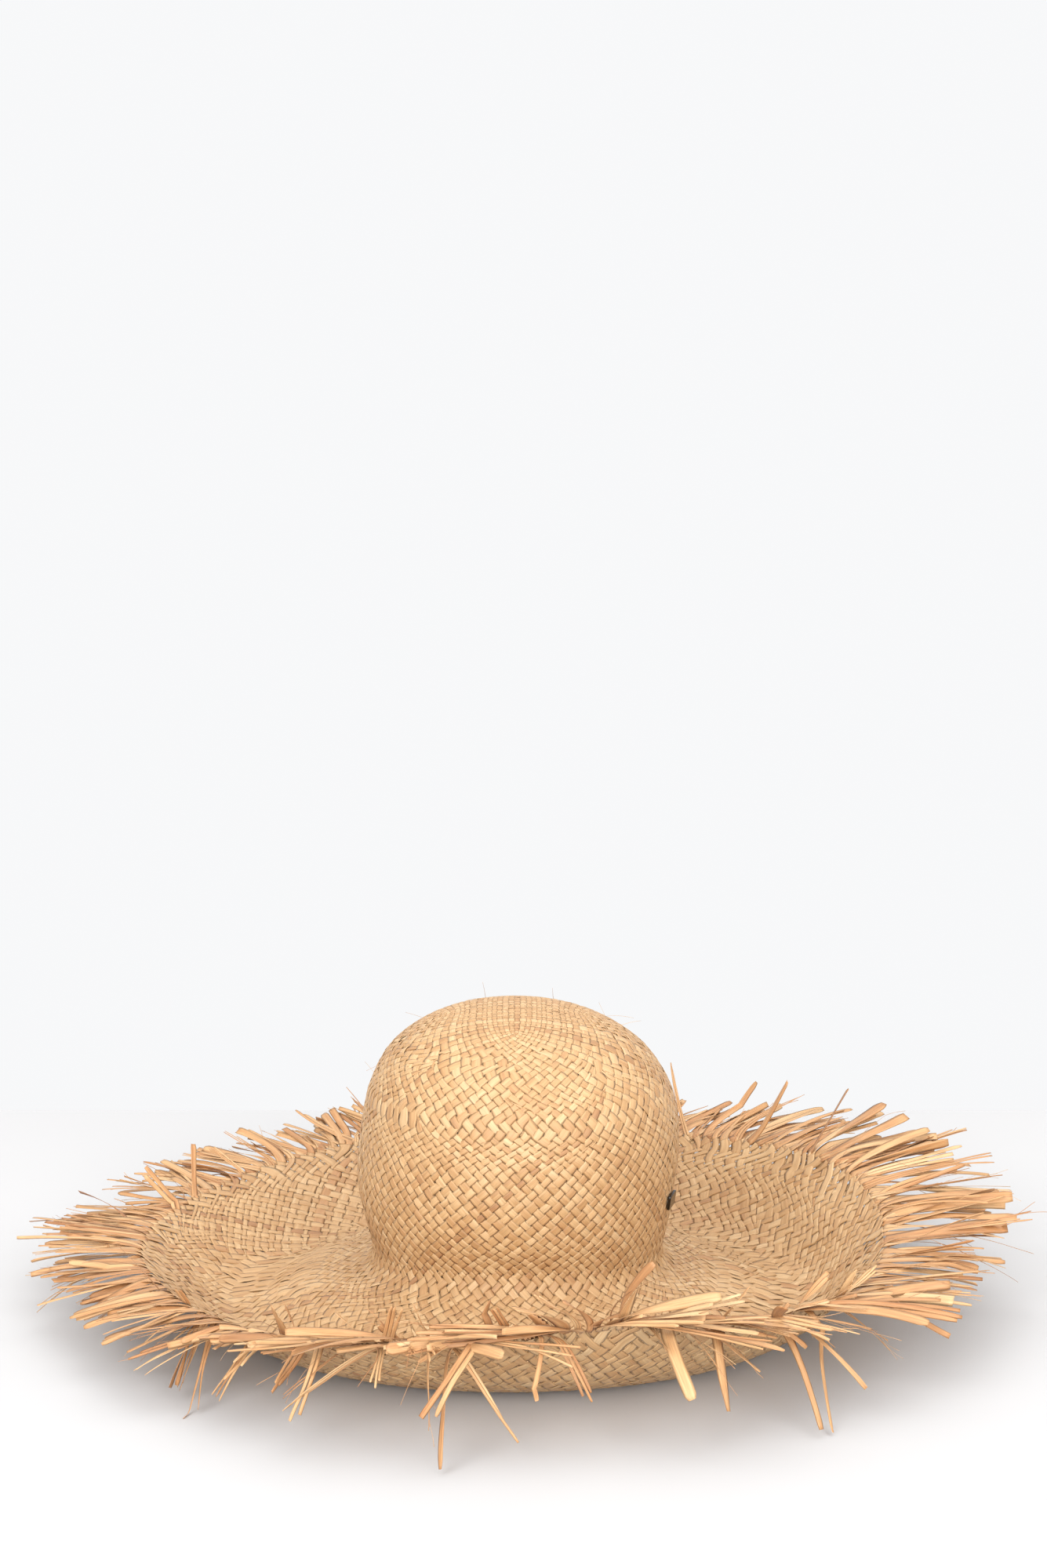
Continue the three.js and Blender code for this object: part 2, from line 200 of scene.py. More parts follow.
# Near the edge some straws have slipped out of the weave and lie over or under it.
LOOSE_SHARE = 0.4
LOOSE_HEIGHT = 2.6


def bend(fraction):
    """How a straw passes from one crossing's height to the next."""
    t = np.clip((fraction - 0.5) * 1.35 + 0.5, 0, 1)
    return t * t * (3 - 2 * t)


# Straws are split by hand, so their widths differ: each has its own share of the tip's grid.
tip_share = np.clip(rng.normal(1, 0.24, HALF_TIP), 0.55, 1.6)
tip_share *= HALF_TIP / tip_share.sum()
tip_middle = np.cumsum(tip_share) - tip_share / 2
outward_crossings = np.concatenate([tip_middle, 2 * HALF_TIP - tip_middle[::-1]])
CROSSING_PLACE = np.concatenate([-outward_crossings[::-1], outward_crossings])
CROSSING_NUMBER = np.arange(-2 * HALF_TIP, 2 * HALF_TIP)


def trace_tip():
    """Half straws from the tip's middle line upward, at each share of the grid.

    They follow the cross field of the conformal map that joins a square grid to 45 degree
    spirals round four corners. Time along a straw is counted in even crossings.
    """
    x = np.linspace(0, TIP_CORNER * 0.999999, 40000)
    rate = DENSITY / np.abs(x**4 - TIP_CORNER**4) ** 0.25
    count = np.concatenate([[0], np.cumsum((rate[1:] + rate[:-1]) / 2 * np.diff(x))])
    starts = np.interp(tip_middle * count[-1] / HALF_TIP, count, x)
    z = np.concatenate([-starts[::-1], starts]).astype(complex)
    heading = np.full(len(z), math.pi / 2)
    dt = 0.2

    def slope(z, heading):
        w = z**4 - TIP_CORNER**4
        angle = np.angle(w) / 4 - math.pi / 4
        quarter = np.round((heading - angle) / (math.pi / 2))
        angle = angle + quarter * math.pi / 2
        return np.exp(1j * angle) * np.abs(w) ** 0.25 / DENSITY, angle

    path, cell = [z.copy()], [np.abs(slope(z, heading)[0])]
    for _ in range(320):
        k1, a1 = slope(z, heading)
        k2, a2 = slope(z + k1 * dt / 2, a1)
        k3, a3 = slope(z + k2 * dt / 2, a2)
        k4, a4 = slope(z + k3 * dt, a3)
        z = z + (k1 + 2 * k2 + 2 * k3 + k4) * dt / 6
        rate, heading = slope(z, a4)
        path.append(z.copy())
        cell.append(np.abs(rate))
    return np.array(path).T, np.array(cell).T, dt


def tip_straws():
    """The straws of the crown's tip, each as crossings, conformal plane points and widths."""
    path, cell, dt = trace_tip()
    crossings = np.arange(path.shape[1]) * dt
    limit = TIP_CORNER * TIP_REACH
    straws = []
    for upright in (True, False):
        for label in range(-HALF_TIP, HALF_TIP):
            ends = []
            for forward in (True, False):
                if upright:
                    turn, source = (1, label) if forward else (-1, -1 - label)
                else:
                    turn, source = (-1j, -1 - label) if forward else (1j, label)
                z = path[source + HALF_TIP] * turn
                last = int(np.argmax(np.abs(z) > limit))
                share = (limit - abs(z[last - 1])) / (abs(z[last]) - abs(z[last - 1]))
                end_z = z[last - 1] + (z[last] - z[last - 1]) * share
                end_z = end_z / abs(end_z) * limit
                size = cell[source + HALF_TIP]
                ends.append((
                    np.append(crossings[:last], crossings[last - 1] + dt * share),
                    np.append(z[:last], end_z),
                    np.append(size[:last], size[last]),
                ))
            (t1, z1, c1), (t0, z0, c0) = ends
            own_share = tip_share[label if label >= 0 else -1 - label]
            straws.append({
                "upright": upright,
                "label": label,
                "t": np.concatenate([-t0[:0:-1], t1]),
                "z": np.concatenate([z0[:0:-1], z1]),
                "width": np.concatenate([c0[:0:-1], c1]) * own_share,
            })
    return straws


def tip_sign(straw, crossing):
    odd = (np.asarray(crossing, int) + straw["label"]) % 2
    over = odd == 0 if straw["upright"] else odd == 1
    return np.where(over, 1.0, -1.0)


def wanted_count(station):
    """How many straws of one family a ring of the hood takes, at an even straw width."""
    radius = np.maximum.accumulate(radius_at(station))
    more = EDGE_STRAW_WIDTH - CROWN_STRAW_WIDTH
    width = CROWN_STRAW_WIDTH + more * smooth(CROWN_RADIUS, EDGE_RADIUS, radius)
    return 2 * math.pi * radius / (width * math.sqrt(2))


def place_births(family, junction):
    """Adds straws in pairs where the ring has room. Returns each straw's birth and first place."""
    stations = np.linspace(junction, HOOD_LENGTH, 3000)
    wanted = wanted_count(stations)
    births = [(-1000.0, i) for i in range(TIP_COUNT)]
    golden = 0.61803399 if family > 0 else 0.75487767
    event = 0
    while len(births) < EDGE_COUNT:
        room = wanted >= len(births) + 1
        station = stations[int(np.argmax(room))] if room.any() else HOOD_LENGTH - 12
        event += 1
        at = int(((0.13 + event * golden) % 1) * len(births))
        births[at:at] = [(station, None), (station, None)]
    return births


def straw_widths(points, room):
    """Each straw's share of the gaps to its neighbours, measured square to the straws."""
    tangent = unit(np.gradient(points, axis=1))
    following = np.roll(points, -1, axis=0) - points
    gap = np.linalg.norm(following - (following * tangent).sum(-1, keepdims=True) * tangent, axis=-1)
    both = np.maximum(room + np.roll(room, -1, axis=0), 1e-6) / 2
    after = gap * room / both
    before = np.roll(gap, 1, axis=0) * room / np.roll(both, 1, axis=0)
    return (after + before) / 2


def lay_family(family, straws, junction):
    """Azimuths, widths and births of one family of spirals at common stations."""
    ends = []
    for number, straw in enumerate(straws):
        for end in (0, -1):
            inner = 1 if end == 0 else -2
            swing = np.angle(straw["z"][end] / straw["z"][inner])
            if (swing > 0) == (family > 0):
                ends.append((np.angle(straw["z"][end]) % (2 * math.pi), number, end))
    ends.sort()
    assert len(ends) == TIP_COUNT, len(ends)
    births = place_births(family, junction)
    stations = np.linspace(junction, HOOD_LENGTH, int((HOOD_LENGTH - junction) / STEP * 1.35) + 1)
    birth = np.array([b for b, _ in births])
    first = np.array([-1 if i is None else i for _, i in births])
    old = first >= 0
    end_turn = np.array([e[0] for e in ends])
    tip_gap = (np.roll(end_turn, -1) - np.roll(end_turn, 1)) % (2 * math.pi) / 2
    tip_weight = np.ones(len(births))
    tip_weight[old] = (tip_gap * TIP_COUNT / (2 * math.pi))[first[old]]
    settled = smooth(0, SETTLING, stations - junction)[None, :]
    weight = tip_weight[:, None] * (1 - settled) + settled
    share = smooth(-GROWTH / 2, GROWTH / 2, stations[None, :] - birth[:, None])
    room = share * weight
    total = room.sum(0)
    # Each boundary between two straws is moved a little, so widths differ but no straw drifts.
    uneven = np.clip(rng.normal(0, 0.13, len(births)), -0.24, 0.24)[:, None]
    uneven = uneven + np.array([slow_noise(len(stations), 30, 0.05) for _ in births])
    uneven = uneven * settled * np.minimum(share, np.roll(share, -1, axis=0))
    after = (np.cumsum(room, 0) + uneven) / total
    before = np.roll(after, 1, axis=0)
    before[0] -= 1
    middle = (before + after) / 2
    room = (after - before) * total
    spiral = family * (log_at(stations) - log_at(junction))
    turns = 2 * math.pi * middle + spiral
    offset = end_turn[first[old]] - turns[old, 0]
    shift = offset.mean()
    rest = np.zeros(len(births))
    rest[old] = offset - shift
    turns = turns + shift + rest[:, None] * (1 - settled)
    width = straw_widths(settle(radius_at(stations), turns, height_at(stations)), room)
    return {
        "stations": stations, "turns": turns, "share": share, "width": width,
        "first": first, "ends": ends,
    }


def family_heights(own, other, parity):
    """Height of each straw of one family over the weave's middle, at each station.

    Each straw lies over every second straw that it crosses. parity says which it starts with.
    """
    heights = np.zeros_like(own["turns"])
    labels = np.arange(len(own["turns"]))
    for n in range(len(own["stations"])):
        active = np.flatnonzero(other["share"][:, n] > LEAST_CROSSED)
        turn = other["turns"][active, n]
        ring = np.concatenate([[turn[-1] - 2 * math.pi], turn, [turn[0] + 2 * math.pi]])
        names = np.concatenate([[active[-1]], active, [active[0]]])
        wrapped = (own["turns"][:, n] - ring[0]) % (2 * math.pi) + ring[0]
        place = np.interp(wrapped, ring, np.arange(len(ring)))
        low = np.clip(np.floor(place).astype(int), 0, len(ring) - 2)
        before = np.where((labels + names[low] + parity) % 2 == 0, 1.0, -1.0)
        after = np.where((labels + names[low + 1] + parity) % 2 == 0, 1.0, -1.0)
        heights[:, n] = before + (after - before) * bend(place - low)
    return heights


def find_parity(spirals, straws):
    """The parity that carries on from the tip's crossings."""
    a, b = spirals[1], spirals[-1]
    votes = []
    for label, index in enumerate(a["first"]):
        if index < 0:
            continue
        _, number, end = a["ends"][index]
        straw = straws[number]
        place = np.interp(straw["t"][end], CROSSING_PLACE, CROSSING_NUMBER)
        following = math.ceil(place) if end == -1 else math.floor(place)
        over = tip_sign(straw, following) > 0
        active = np.flatnonzero(b["share"][:, 0] > LEAST_CROSSED)
        turn = b["turns"][active, 0]
        ahead = (turn - a["turns"][label, 0]) % (2 * math.pi)
        crossed = active[int(np.argmin(ahead))]
        votes.append(((label + crossed) % 2 == 0) == over)
    share = float(np.mean(votes))
    print("weave parity votes", round(share, 3))
    return 0 if share > 0.5 else 1


def add_object(name, data):
    made = bpy.data.objects.new(name, data)
    bpy.context.collection.objects.link(made)
    return made


def stand_for(piece, node_name):
    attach(piece, "root")
    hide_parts(node_name)


# ---------------------------------------------------------------- ribbons
TABLE_GAP = 0.1


class RibbonPile:
    """Collects closed flat ribbons and turns them into one mesh with their own attributes."""

    def __init__(self):
        self.points, self.quads, self.along, self.across, self.tint, self.tone = [], [], [], [], [], []
        self.count = 0

    def add(self, centre, side, normal, half_width, half_thickness, tint, tone=0.0, cup=0.0):
        """centre, side and normal are rows of vectors; the rest are rows or numbers."""
        n = len(centre)
        if n < 3:
            return
        hw = np.broadcast_to(np.asarray(half_width, float), n)[:, None]
        ht = np.broadcast_to(np.asarray(half_thickness, float), n)[:, None]
        cup = np.broadcast_to(np.asarray(cup, float), n)[:, None]
        section = ((-1, 0, 1), (-0.5, 1, 0.45), (0.5, 1, 0.45), (1, 0, 1), (0.5, -1, 0.45), (-0.5, -1, 0.45))
        rings = [centre + side * (x * hw) + normal * (y * ht + c * cup) for x, y, c in section]
        ring = np.stack(rings, 1)
        self.points.append(ring.reshape(-1, 3))
        k = len(section)
        base = self.count + np.arange(n - 1)[:, None] * k
        i = np.arange(k)[None, :]
        j = (i + 1) % k
        quads = np.stack([base + i, base + i + k, base + j + k, base + j], -1).reshape(-1, 4)
        caps = []
        for first, flip in ((self.count, False), (self.count + (n - 1) * k, True)):
            a = [first + q for q in range(k)]
            faces = [[a[0], a[1], a[4], a[5]], [a[1], a[2], a[3], a[4]]]
            caps += [f[::-1] if flip else f for f in faces]
        self.quads.append(np.vstack([quads, np.array(caps)]))
        length = np.concatenate([[0], np.cumsum(np.linalg.norm(np.diff(centre, axis=0), axis=1))])
        self.along.append(np.repeat(length, k))
        self.across.append(np.tile([s[0] for s in section], n) * np.repeat(hw[:, 0], k))
        self.tint.append(np.full(n * k, tint))
        self.tone.append(np.repeat(np.broadcast_to(np.asarray(tone, float), n), k))
        self.count += n * k

    def build(self, name, material):
        points = np.vstack(self.points)
        points[:, 2] = np.maximum(points[:, 2], TABLE_GAP)
        points *= MM
        quads = np.vstack(self.quads)
        mesh = bpy.data.meshes.new(name)
        mesh.vertices.add(len(points))
        mesh.vertices.foreach_set("co", points.astype(np.float32).ravel())
        mesh.loops.add(quads.size)
        mesh.loops.foreach_set("vertex_index", quads.astype(np.int32).ravel())
        mesh.polygons.add(len(quads))
        mesh.polygons.foreach_set("loop_start", np.arange(0, quads.size, 4, dtype=np.int32))
        mesh.polygons.foreach_set("use_smooth", np.ones(len(quads), bool))
        fields = (("along", self.along), ("across", self.across), ("tint", self.tint), ("tone", self.tone))
        for label, values in fields:
            field = mesh.attributes.new(label, "FLOAT", "POINT")
            field.data.foreach_set("value", np.concatenate(values).astype(np.float32))
        mesh.update()
        mesh.validate()
        mesh.materials.append(material)
        return add_object(name, mesh)


def add_woven(pile, station, turn, height, width, tint, tone):
    """One woven straw, from its stations and azimuths on the hood."""
    point, normal = surface(station, turn)
    centre = point + normal * (height * WAVE_HEIGHT - STRAW_THICKNESS / 2)[:, None]
    tangent = unit(np.gradient(centre, axis=0))
    side = unit(np.cross(normal, tangent))
    own_normal = unit(np.cross(tangent, side))
    roll = slow_noise(len(station), 9, 0.07)[:, None]
    side, own_normal = (
        side * np.cos(roll) + own_normal * np.sin(roll),
        own_normal * np.cos(roll) - side * np.sin(roll),
    )
    pinch = 0.93 + 0.07 * np.minimum(np.abs(height), 1)
    half_width = width / 2 * pinch * (1 + slow_noise(len(station), 12, 0.035))
    pile.add(centre, side, own_normal, half_width, STRAW_HALF_THICKNESS, tint, tone)


# ---------------------------------------------------------------- materials
def new_material(name):
    material = bpy.data.materials.new(name)
    material.use_nodes = True
    nodes = material.node_tree.nodes
    return material, nodes, material.node_tree.links, nodes["Principled BSDF"]


def node(nodes, kind, **settings):
    made = nodes.new(kind)
    for key, value in settings.items():
        if key in made.inputs:
            made.inputs[key].default_value = value
        else:
            setattr(made, key, value)
    return made


def attribute(nodes, name):
    return node(nodes, "ShaderNodeAttribute", attribute_name=name).outputs["Fac"]


def math_node(nodes, links, operation, source, value):
    """A Math node on a source and a fixed number."""
    made = node(nodes, "ShaderNodeMath", operation=operation)
    made.inputs[1].default_value = value
    links.new(source, made.inputs[0])
    return made


def colour_ramp(nodes, stops):
    made = nodes.new("ShaderNodeValToRGB")
    ramp = made.color_ramp
    while len(ramp.elements) < len(stops):
        ramp.elements.new(0.5)
    for element, (place, colour) in zip(ramp.elements, stops):
        element.position = place
        element.color = (*colour, 1)
    return made


def colour_from(nodes, links, shader, source, stops):
    ramp = colour_ramp(nodes, stops)
    links.new(source, ramp.inputs["Fac"])
    links.new(ramp.outputs["Color"], shader.inputs["Base Color"])


def bump_from(nodes, links, shader, source, strength, distance):
    bump = node(nodes, "ShaderNodeBump", Strength=strength, Distance=distance)
    links.new(source, bump.inputs["Height"])
    links.new(bump.outputs["Normal"], shader.inputs["Normal"])


def straw_material(name, stops, dark, streak_depth, gloss):
    """Straw: fibres along each ribbon, a colour of its own per straw, thin dark fibres and specks."""
    material, nodes, links, shader = new_material(name)
    along, across, tint, tone = (attribute(nodes, label) for label in ("along", "across", "tint", "tone"))

    def fibre_space(along_scale, across_scale):
        """Millimetres along and across the straw, stretched, with each straw in its own place."""
        joined = nodes.new("ShaderNodeCombineXYZ")
        scaled = (("X", along, along_scale), ("Y", across, across_scale), ("Z", tint, 97.0))
        for socket, source, scale in scaled:
            product = math_node(nodes, links, "MULTIPLY", source, scale)
            links.new(product.outputs[0], joined.inputs[socket])
        return joined.outputs[0]

    fine = node(nodes, "ShaderNodeTexNoise", Scale=1.0, Detail=3.0, Roughness=0.6)
    links.new(fibre_space(0.07, 2.6), fine.inputs["Vector"])
    broad = node(nodes, "ShaderNodeTexNoise", Scale=1.0, Detail=2.0, Roughness=0.5)
    links.new(fibre_space(0.035, 0.45), broad.inputs["Vector"])
    ramp = colour_ramp(nodes, stops)
    blend = math_node(nodes, links, "MULTIPLY_ADD", broad.outputs["Fac"], 0.9)
    shift = math_node(nodes, links, "SUBTRACT", tint, 0.45)
    links.new(shift.outputs[0], blend.inputs[2])
    links.new(blend.outputs[0], ramp.inputs["Fac"])

    lines = node(nodes, "ShaderNodeMapRange")
    lines.inputs["From Min"].default_value = 0.36
    lines.inputs["From Max"].default_value = 0.66
    lines.inputs["To Min"].default_value = 1.0 - streak_depth
    lines.inputs["To Max"].default_value = 1.0 + streak_depth * 0.55
    links.new(fine.outputs["Fac"], lines.inputs["Value"])
    streaked = node(nodes, "ShaderNodeMix", data_type="RGBA", blend_type="MULTIPLY")
    streaked.inputs["Factor"].default_value = 1.0
    links.new(ramp.outputs["Color"], streaked.inputs["A"])
    links.new(lines.outputs["Result"], streaked.inputs["B"])

    toned = node(nodes, "ShaderNodeMix", data_type="RGBA", blend_type="MIX")
    toned.inputs["B"].default_value = (*dark, 1)
    links.new(tone, toned.inputs["Factor"])
    links.new(streaked.outputs["Result"], toned.inputs["A"])
    links.new(toned.outputs["Result"], shader.inputs["Base Color"])

    rough = node(nodes, "ShaderNodeMapRange")
    rough.inputs["To Min"].default_value = gloss
    rough.inputs["To Max"].default_value = gloss + 0.22
    links.new(fine.outputs["Fac"], rough.inputs["Value"])
    links.new(rough.outputs["Result"], shader.inputs["Roughness"])
    bump_from(nodes, links, shader, fine.outputs["Fac"], 0.55, 0.00012)
    shader.inputs["Specular IOR Level"].default_value = 0.42
    shader.inputs["Sheen Weight"].default_value = 0.03
    shader.inputs["Sheen Roughness"].default_value = 0.4
    return material


def thread_material(name, colour, twist_scale):
    """Twisted thread: slanting bands round it, with slight colour variation."""
    material, nodes, links, shader = new_material(name)
    place = nodes.new("ShaderNodeTexCoord")
    ribs = node(nodes, "ShaderNodeTexWave", Scale=twist_scale, Distortion=0.6, Detail=1.0)
    ribs.bands_direction = "DIAGONAL"
    links.new(place.outputs["Object"], ribs.inputs["Vector"])
    noise = node(nodes, "ShaderNodeTexNoise", Scale=900.0, Detail=2.0)
    links.new(place.outputs["Object"], noise.inputs["Vector"])
    mixed = math_node(nodes, links, "MULTIPLY_ADD", noise.outputs["Fac"], 0.5)
    links.new(ribs.outputs["Fac"], mixed.inputs[2])
    # Painted shade: the colour is darker where the twist's bands are low, in its grooves; the noise adds
    # slight colour variation.
    stops = [(0.0, [c * 0.8 for c in colour]), (1.0, colour)]
    colour_from(nodes, links, shader, mixed.outputs[0], stops)
    bump_from(nodes, links, shader, ribs.outputs["Fac"], 0.6, 0.0003)
    shader.inputs["Roughness"].default_value = 0.85
    shader.inputs["Sheen Weight"].default_value = 0.3
    return material


def tape_material(name, colour, rib_pitch):
    """Grosgrain or woven tape: ribs across its length, in millimetres, with a fine uneven weave."""
    material, nodes, links, shader = new_material(name)
    along, across = attribute(nodes, "along"), attribute(nodes, "across")
    phase = math_node(nodes, links, "MULTIPLY", along, 2 * math.pi / rib_pitch)
    ribs = node(nodes, "ShaderNodeMath", operation="SINE")
    links.new(phase.outputs[0], ribs.inputs[0])
    joined = nodes.new("ShaderNodeCombineXYZ")
    links.new(along, joined.inputs["X"])
    links.new(across, joined.inputs["Y"])
    noise = node(nodes, "ShaderNodeTexNoise", Scale=2.2, Detail=3.0)
    links.new(joined.outputs[0], noise.inputs["Vector"])
    height = math_node(nodes, links, "MULTIPLY_ADD", ribs.outputs[0], 0.28)
    links.new(noise.outputs["Fac"], height.inputs[2])
    # Painted shade: the colour follows the height, so the tape is darker between its ribs and in the dips of
    # its uneven weave.
    stops = [(0.15, [c * 0.72 for c in colour]), (0.75, colour)]
    colour_from(nodes, links, shader, height.outputs[0], stops)
    bump_from(nodes, links, shader, height.outputs[0], 0.7, 0.00025)
    shader.inputs["Roughness"].default_value = 0.82
    shader.inputs["Sheen Weight"].default_value = 0.3
    return material


def metal_material(name, colour, rough_low, rough_high):
    """Plated metal with fine scratches."""
    material, nodes, links, shader = new_material(name)
    place = nodes.new("ShaderNodeTexCoord")
    noise = node(nodes, "ShaderNodeTexNoise", Scale=700.0, Detail=4.0)
    links.new(place.outputs["Object"], noise.inputs["Vector"])
    rough = node(nodes, "ShaderNodeMapRange")
    rough.inputs["To Min"].default_value = rough_low
    rough.inputs["To Max"].default_value = rough_high
    links.new(noise.outputs["Fac"], rough.inputs["Value"])
    links.new(rough.outputs["Result"], shader.inputs["Roughness"])
    stops = [(0.3, [c * 0.75 for c in colour]), (0.7, colour)]
    colour_from(nodes, links, shader, noise.outputs["Fac"], stops)
    shader.inputs["Metallic"].default_value = 1.0
    return material


def floor_material():
    material, nodes, links, shader = new_material("floor_paint")
    place = nodes.new("ShaderNodeTexCoord")
    noise = node(nodes, "ShaderNodeTexNoise", Scale=3.0, Detail=2.0)
    links.new(place.outputs["Object"], noise.inputs["Vector"])
    stops = [(0.3, (0.468, 0.463, 0.463)), (0.7, (0.476, 0.471, 0.471))]
    colour_from(nodes, links, shader, noise.outputs["Fac"], stops)
    shader.inputs["Roughness"].default_value = 0.7
    return material


# ---------------------------------------------------------------- the woven hood
WEAVE_STOPS = [
    (0.0, (0.315, 0.157, 0.068)),
    (0.3, (0.407, 0.231, 0.1)),
    (0.6, (0.481, 0.3, 0.145)),
    (1.0, (0.564, 0.392, 0.217)),
]
FRINGE_STOPS = [
    (0.0, (0.315, 0.132, 0.045)),
    (0.35, (0.448, 0.223, 0.09)),
    (0.65, (0.531, 0.306, 0.139)),
    (1.0, (0.614, 0.405, 0.211)),
]
weave_straw = straw_material("woven_straw", WEAVE_STOPS, (0.34, 0.15, 0.06), 0.16, 0.42)
fringe_straw = straw_material("loose_straw", FRINGE_STOPS, (0.20, 0.10, 0.05), 0.24, 0.4)


def straw_tint():
    """A straw's own colour place: mostly even, a few darker or paler."""
    value = rng.normal(0.5, 0.13)
    if rng.random() < 0.05:
        value -= 0.3
    return float(np.clip(value, 0.02, 0.98))


def add_hairs(pile, low, high, count):
    """Fine fibres that have sprung from the weave between two stations."""
    stations, turns = rng.uniform(low, high, count), rng.uniform(0, 2 * math.pi, count)
    points, normals = surface(stations, turns)
    for point, normal in zip(points, normals):
        level = unit(np.cross(normal, rng.normal(0, 1, 3)))
        heading = unit(level + normal * rng.uniform(0.15, 0.8))
        path, _ = grow(point, heading, rng.uniform(6, 22), heading, 0.05, 0.02, 0.05, 0.0)
        sides, fronts = ribbon_frame(path, normal, 1.0)
        half = 0.13 * (1 - 0.5 * np.linspace(0, 1, len(path)))
        pile.add(path, sides, fronts, half, 0.06, float(rng.uniform(0.1, 0.8)), 0.2)


def build_weave():
    straws = tip_straws()
    junction = float(station_at_log(math.log(TIP_CORNER * TIP_REACH)))
    spirals = {family: lay_family(family, straws, junction) for family in (1, -1)}
    parity = find_parity(spirals, straws)
    for family in (1, -1):
        own_parity = parity if family > 0 else 1 - parity
        spirals[family]["height"] = family_heights(spirals[family], spirals[-family], own_parity)
        spirals[family]["tint"] = [straw_tint() for _ in range(EDGE_COUNT)]

    loosen = {f: 1 - 0.1 * smooth(HOOD_LENGTH - 45, HOOD_LENGTH, spirals[f]["stations"]) for f in (1, -1)}
    crown_piles = {name: RibbonPile() for name in ("tip_1", "tip_2", "side_1", "side_2", "side_3")}
    brim_piles = [RibbonPile() for _ in range(6)]
    tails = []

    used = {1: set(), -1: set()}
    for number, straw in enumerate(straws):
        tint = straw_tint()
        crossings = np.interp(straw["t"], CROSSING_PLACE, CROSSING_NUMBER)
        low = np.floor(crossings)
        first, second = tip_sign(straw, low), tip_sign(straw, low + 1)
        height = first + (second - first) * bend(crossings - low)
        station = station_at_log(np.log(np.maximum(np.abs(straw["z"]), 0.6)))
        turn = np.unwrap(np.angle(straw["z"]))
        scale = radius_at(station) / np.maximum(np.abs(straw["z"]), 0.6)
        width = straw["width"] * scale * FILL
        parts = [(station, turn, height, width)]
        for end in (0, -1):
            for family in (1, -1):
                own = spirals[family]
                for index, (_, source, which) in enumerate(own["ends"]):
                    if source == number and which == end:
                        label = int(np.flatnonzero(own["first"] == index)[0])
                        used[family].add(label)
                        own["tint"][label] = tint
                        inside = own["stations"] <= BREAK
                        rows = np.flatnonzero(inside)[1:]
                        tail_turn = own["turns"][label, rows]
                        join = turn[end]
                        tail_turn = tail_turn + 2 * math.pi * round((join - tail_turn[0]) / (2 * math.pi))
                        tail = (
                            own["stations"][rows], tail_turn,
                            own["height"][label, rows], own["width"][label, rows] * FILL,
                        )
                        if end == 0:
                            parts.insert(0, tuple(part[::-1] for part in tail))
                        else:
                            parts.append(tail)
        joined = [np.concatenate(group) for group in zip(*parts)]
        tone = slow_noise(len(joined[0]), 40, 0.1).clip(0, 1)
        add_woven(crown_piles[f"tip_{number % 2 + 1}"], *joined, tint, tone)

    for family in (1, -1):
        own = spirals[family]
        stations = own["stations"]
        for label in range(EDGE_COUNT):
            drawn = own["share"][label] > LEAST_DRAWN
            tint = own["tint"][label]
            tone = slow_noise(len(stations), 40, 0.1).clip(0, 1)
            if rng.random() < 0.04:
                tone = tone + rng.uniform(0.15, 0.4)
            width = own["width"][label] * FILL * loosen[family]
            turn, height = own["turns"][label], own["height"][label]
            rows = np.flatnonzero(drawn & (stations <= BREAK))
            if label not in used[family] and len(rows) > 3:
                pile = crown_piles[f"side_{label % 3 + 1}"]
                add_woven(pile, stations[rows], turn[rows], height[rows], width[rows], tint, tone[rows])
            rows = np.flatnonzero(drawn & (stations > BREAK - STEP))
            if rng.random() < LOOSE_SHARE:
                slipped = HOOD_LENGTH - rng.uniform(3, 13)
                above = LOOSE_HEIGHT * (1 if rng.random() < 0.7 else -1)
                height = height + (above - height) * smooth(slipped - 4, slipped, stations)
            pile = brim_piles[int(label * 3 / EDGE_COUNT) + (3 if family < 0 else 0)]
            add_woven(pile, stations[rows], turn[rows], height[rows], width[rows], tint, tone[rows])
            tails.append((family, float(turn[-1]), float(width[-1]), float(height[-1]), tint))

    add_hairs(crown_piles["side_1"], 55, BREAK - 20, 34)
    add_hairs(brim_piles[0], BREAK + 40, HOOD_LENGTH - 2, 30)
    for name, pile in crown_piles.items():
        stand_for(pile.build(f"crown_straws_{name}", weave_straw), "woven_crown")
    for number, pile in enumerate(brim_piles, start=1):
        stand_for(pile.build(f"brim_straws_{number}", weave_straw), "woven_brim")
    return tails


# ---------------------------------------------------------------- the fringe
TUFTS = sum(name.startswith("fringe_tuft_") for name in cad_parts)
FLOOR_GAP = 1.0
BUNCHES = 62
# Straws with a second one under them at the edge.
SECOND_SHARE = 0.55
PATH_STEP = 2.6
BEND_REACH = 13.0
FACING_RATE = 0.16


def grow(start, heading, length, pull, stiffness, weight, wander, kink=0.0):
    """Path of a loose straw: it soon turns to its pull, then runs on and sags; it may kink."""
    count = max(6, int(length / PATH_STEP))
    point, direction = np.array(start, float), np.array(heading, float)
    points = [point.copy()]
    drift = rng.normal(0, wander, 3)
    kink_at = rng.integers(2, max(3, count - 2)) if kink else -1
    for i in range(count):
        drift = drift * 0.85 + rng.normal(0, wander * 0.4, 3)
        turning = stiffness * (0.07 + 0.93 * math.exp(-i * PATH_STEP / BEND_REACH))
        direction = direction + (pull - direction) * turning + drift
        direction[2] -= weight * (i + 1) / count
        if i == kink_at:
            direction = direction + unit(rng.normal(0, 1, 3) * (1, 1, 0.6)) * kink
        if point[2] < 5 and direction[2] < 0:
            direction[2] *= max(0.0, (point[2] - FLOOR_GAP) / 4)
        direction = direction / np.linalg.norm(direction)
        point = point + direction * length / count
        point[2] = max(point[2], FLOOR_GAP)
        points.append(point.copy())
    return np.array(points), direction


